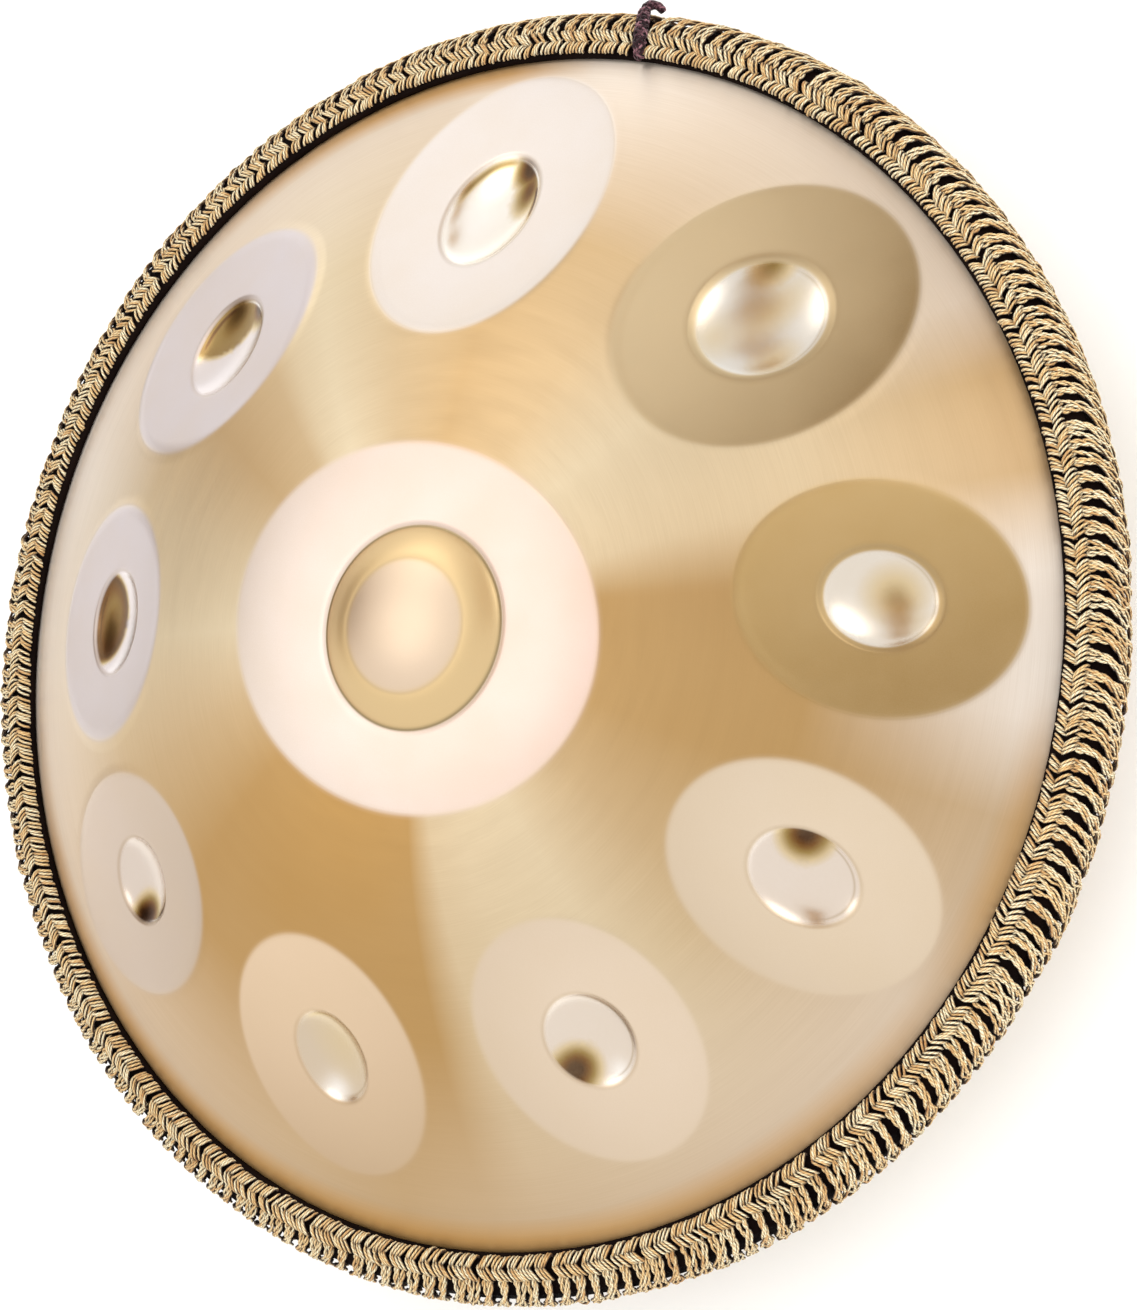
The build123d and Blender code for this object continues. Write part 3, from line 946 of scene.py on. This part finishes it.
def painted_by_azimuth(graph, turn, stops):
    grey = [(azimuth / 360, (value, value, value)) for azimuth, value in stops]
    return graph.ramp(turn, *grey)


def dome_colour(graph):
    """Gold heat tint of the brushed dome, with painted reflection in pale fans and dark sectors,
    painted brown shade where it meets the rope, and fine brushing lines.
    """
    lines = graph.noise(polar(graph, 2600.0, 5.0), 1.0, 3.0, 0.7)
    clouds = graph.noise(graph.place(), 7.0, 3.0)
    place = graph.node("SeparateXYZ", graph.place()).node
    x, y = place.outputs[0], place.outputs[1]
    turn = graph.math("FRACT", graph.math("MULTIPLY", graph.math("ARCTAN2", y, x), 1 / TURN))
    radius = graph.math("SQRT", graph.math("ADD", graph.math("MULTIPLY", x, x),
                                           graph.math("MULTIPLY", y, y)))
    # Painted reflection: pale fans and dark sectors round the crown and near the rim.
    crown = graph.mix(painted_by_azimuth(graph, turn, CROWN_PAINTED_REFLECTION), GOLD, GOLD_PALE)
    low = graph.mix(painted_by_azimuth(graph, turn, RIM_PAINTED_REFLECTION), RIM_DEEP, RIM_PALE)
    colour = graph.mix(graph.remap(radius, *CROWN_TO_RIM, 0.0, 1.0), crown, low)
    # Painted brown shade on the last centimetre of steel beside the rope.
    edge = graph.remap(radius, *RIM_EDGE, 0.0, 0.85)
    painted_rim_shade = graph.math("MULTIPLY", painted_by_azimuth(graph, turn, RIM_PAINTED_SHADE), edge)
    colour = graph.mix(painted_rim_shade, colour, RIM_SHADE_BROWN)
    colour = graph.mix(graph.remap(clouds, 0.3, 0.7, 0.0, 0.08), colour, GOLD_PALE)
    return graph.mix(graph.remap(lines, 0.25, 0.75, 0.0, 0.16), colour, BRUSH_TINT), lines


def rubbed_colour(graph, grain, clouds):
    colour = graph.attribute("tint", "Color")
    colour = graph.mix(graph.remap(clouds, 0.36, 0.66, 0.0, 0.12), colour, STAIN)
    return graph.mix(graph.remap(grain, 0.3, 0.7, 0.0, 0.12), colour, GRAIN_TINT)


def dome_steel():
    graph = Graph("brushed_gold_steel", Metallic=1.0, Anisotropic=0.86, Anisotropic_Rotation=0.25)
    bands = graph.noise(polar(graph, 160.0, 3.0), 1.0, 2.0)
    colour, lines = dome_colour(graph)
    colour = graph.mix(graph.attribute("tone"), colour, graph.attribute("tint", "Color"))
    roughness = graph.remap(bands, 0.2, 0.8, 0.40, 0.47)
    tangent = graph.node("Tangent", direction_type="RADIAL", axis="Z")
    return graph.finish(colour, roughness, graph.bump(lines, 0.14, 0.0002), tangent)


def field_steel():
    graph = Graph("rubbed_pale_steel", Metallic=1.0)
    place = graph.place()
    grain = graph.noise(place, 2400.0, 2.0, 0.6)
    clouds = graph.noise(place, 24.0, 3.0)
    rubbed = rubbed_colour(graph, grain, clouds)
    colour = graph.mix(graph.attribute("tone"), dome_colour(graph)[0], rubbed)
    rough_field = graph.remap(clouds, 0.2, 0.8, 0.36, 0.42)
    roughness = graph.remap(graph.attribute("dimple"), 0.0, 1.0, rough_field, 0.24)
    return graph.finish(colour, roughness, graph.bump(grain, 0.12, 0.0002))


# Shades of the cords: pale, middle and deep fibres, and the dark between them, which is painted
# shade; deep also fills the painted shade in the fibre grooves.
STRAW = ((1.0, 0.96, 0.67), (0.91, 0.69, 0.34), (0.44, 0.20, 0.06), (0.05, 0.017, 0.005))
# The tie's pale shade makes pink specks that are painted highlights on the dark braid.
MAROON = ((0.52, 0.24, 0.29), (0.034, 0.004, 0.011), (0.012, 0.002, 0.005), (0.004, 0.001, 0.002))


def cord_material(name, pale, middle, deep, dark):
    """Twisted plies: fibres run slantwise round each one, and each has its own shade of colour;
    shade is painted in the fibre grooves and on the sides of the plies that face away from outward.
    """
    graph = Graph(name, Sheen_Weight=0.12, Sheen_Roughness=0.5, Specular_IOR_Level=0.3)
    uv = graph.node("TexCoord", out=2)
    u, v = (graph.node("SeparateXYZ", uv, out=i) for i in (0, 1))
    slant = graph.math("ADD", graph.math("MULTIPLY", u, 3.0), graph.math("MULTIPLY", v, 0.45))
    fibre = graph.math("SINE", graph.math("MULTIPLY", slant, TURN))
    rough = graph.noise(graph.place(), 1500.0, 3.0, 0.6)
    shade = graph.noise(graph.place(), 260.0, 2.0)
    strand = graph.attribute("strand")
    colour = graph.ramp(graph.math("ADD", graph.math("MULTIPLY", strand, 0.55),
                                   graph.math("MULTIPLY", shade, 0.5)),
                        (0.34, pale), (0.66, middle), (0.95, deep))
    # Painted shade in the grooves between the fibres.
    painted_groove_shade = graph.remap(fibre, -1.0, 0.1, 0.75, 0.0)
    colour = graph.mix(painted_groove_shade, colour, deep)
    colour = graph.mix(graph.remap(rough, 0.35, 0.7, 0.0, 0.3), colour, deep)
    # Painted shade on the sides of the plies that face away from outward, where they lie against
    # each other.
    colour = graph.mix(graph.remap(graph.attribute("facing"), 0.3, 0.86, 0.97, 0.0), colour, dark)
    height = graph.math("ADD", fibre, graph.math("MULTIPLY", rough, 1.2))
    return graph.finish(colour, 0.82, graph.bump(height, 0.7, 0.00025))


def rubber_material():
    graph = Graph("black_rubber", Specular_IOR_Level=0.04)
    grain = graph.noise(graph.place(), 900.0, 4.0, 0.65)
    patches = graph.noise(graph.place(), 40.0, 2.0)
    colour = graph.ramp(patches, (0.3, (0.003, 0.0015, 0.0015)), (0.7, (0.008, 0.004, 0.003)))
    return graph.finish(colour, graph.remap(grain, 0.3, 0.7, 0.6, 0.85),
                        graph.bump(grain, 0.5, 0.0004))


def glue_material():
    graph = Graph("seam_glue", Specular_IOR_Level=0.4)
    lumps = graph.noise(graph.place(), 300.0, 3.0)
    colour = graph.ramp(lumps, (0.3, (0.42, 0.38, 0.30)), (0.7, (0.58, 0.53, 0.44)))
    return graph.finish(colour, 0.55, graph.bump(lumps, 0.5, 0.0004))


def floor_material():
    graph = Graph("pale_floor", Specular_IOR_Level=0.2)
    faint = graph.noise(graph.place(), 3.0, 3.0)
    colour = graph.ramp(faint, (0.3, (0.93, 0.96, 0.985)), (0.7, (0.945, 0.975, 1.0)))
    return graph.finish(colour, 0.7)


def card_material(name, colour):
    graph = Graph(name, Specular_IOR_Level=0.1)
    faint = graph.noise(graph.place(), 3.0, 2.0)
    deep = tuple(0.8 * part for part in colour)
    return graph.finish(graph.ramp(faint, (0.3, deep), (0.7, colour)), 0.9)


# --- stage ---
HEART = Vector((0, 0, MID * MM))


def direction(azimuth, elevation):
    (x, y), (level, high) = turned(azimuth), turned(elevation)
    return Vector((x * level, y * level, high))


def placed_out(azimuth, elevation, distance):
    """A place out in a direction, turned so its local Z points away from the object."""
    way = direction(azimuth, elevation)
    turn = way.to_track_quat("Z", "Y").to_matrix().to_4x4()
    return Matrix.Translation(HEART + way * distance) @ turn


def softbox(name, azimuth, elevation, spread, radiance, distance=2.6, lit_only=False):
    """Round light with a given angular radius and brightness, as seen from the object."""
    light = bpy.data.lights.new(name, "AREA")
    light.shape = "DISK"
    radius = distance * math.tan(math.radians(spread))
    light.size = 2 * radius
    light.color = (1.0, 0.97, 0.93)
    light.energy = radiance * math.pi * math.pi * radius**2
    lamp = bpy.data.objects.new(name, light)
    lamp.matrix_world = placed_out(azimuth, elevation, distance)
    lamp.visible_camera = False
    lamp.visible_glossy = not lit_only
    bpy.context.scene.collection.objects.link(lamp)


def round_sheet(name, radius, around, height, material):
    t = [TURN * i / around for i in range(around)]
    points = [(radius * math.cos(a), radius * math.sin(a), height) for a in t]
    mesh = bpy.data.meshes.new(name)
    mesh.from_pydata(points, [], [list(range(around))])
    mesh.materials.append(material)
    piece = bpy.data.objects.new(name, mesh)
    bpy.context.scene.collection.objects.link(piece)
    return piece


def floor(material, radius=9.0, gap=0.0004):
    """Floor a hair under the object, so the two never lie in one plane."""
    round_sheet("floor", radius, 96, -gap, material)


def card(name, azimuth, elevation, spread, material, distance):
    """Dark card that only the reflections see."""
    piece = round_sheet(name, distance * math.tan(math.radians(spread)), 48, 0.0, material)
    piece.matrix_world = placed_out(azimuth, elevation, distance)
    piece.visible_camera = False
    piece.visible_diffuse = False
    piece.visible_shadow = False


def world_light(colour, strength):
    world = bpy.data.worlds.new("studio")
    bpy.context.scene.world = world
    world.use_nodes = True
    background = world.node_tree.nodes["Background"]
    background.inputs["Color"].default_value = (*colour, 1)
    background.inputs["Strength"].default_value = strength


VIEW_AIM = (-0.01821, 0.00219, 0.115)
VIEW = (166.42, 58.15, -76.02, 2.61616)  # azimuth, elevation, roll and distance
VIEW_LENS = 165


def camera():
    """A long lens from above, rolled so the rim stands nearly upright."""
    aim = Vector(VIEW_AIM)
    azimuth, elevation, roll, distance = VIEW
    back = direction(azimuth, elevation)
    x, y = turned(azimuth)
    across = Vector((-y, x, 0))
    upward = back.cross(across)
    c, s = turned(roll)
    right = c * across + s * upward
    up = c * upward - s * across
    lens = bpy.data.cameras.new("photo_view")
    lens.lens = VIEW_LENS
    lens.sensor_width = 36
    eye = bpy.data.objects.new("photo_view", lens)
    place = aim + back * distance
    eye.matrix_world = Matrix((
        (right.x, up.x, back.x, place.x),
        (right.y, up.y, back.y, place.y),
        (right.z, up.z, back.z, place.z),
        (0, 0, 0, 1),
    ))
    bpy.context.scene.collection.objects.link(eye)
    bpy.context.scene.camera = eye


# Cards round the object: azimuth, elevation, angular radius and distance.
DARK_CARDS = [(345, 22, 11, 2.0)]
BROWN_CARDS = [(345, 22, 15, 2.3), (207, 60, 8, 2.2), (228, 53, 8, 2.2), (246, 42, 8, 2.2),
               (262, 26, 7, 2.2), (275, 11, 6, 2.2)]


def lights():
    world_light((1.0, 0.975, 0.95), 1.05)
    softbox("back_light", 300, 44, 14, 1.3)
    softbox("side_light", 215, 22, 14, 1.5)
    softbox("top_light", 346, 64, 12, 1.25)
    softbox("fill_light", 166, 58, 30, 2.0, lit_only=True)
    dark = card_material("dark_card", (0.07, 0.035, 0.012))
    brown = card_material("brown_card", (0.42, 0.25, 0.10))
    for kind, cards, material in (("dark", DARK_CARDS, dark), ("brown", BROWN_CARDS, brown)):
        for i, (azimuth, elevation, spread, distance) in enumerate(cards):
            card(f"{kind}_card_{i}", azimuth, elevation, spread, material, distance)


# --- assembly ---
def dress(node, material):
    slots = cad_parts[node].data.materials
    slots.clear()
    slots.append(material)


steel = dome_steel()
top_shell(steel, field_steel())
bottom_shell(steel)
dress("rim_edging", rubber_material())
dress("rim_adhesive", glue_material())
rope_work(cord_material("straw_cord", *STRAW))
tie(cord_material("maroon_cord", *MAROON))
floor(floor_material())
lights()
camera()
bpy.context.scene.view_settings.view_transform = "Standard"
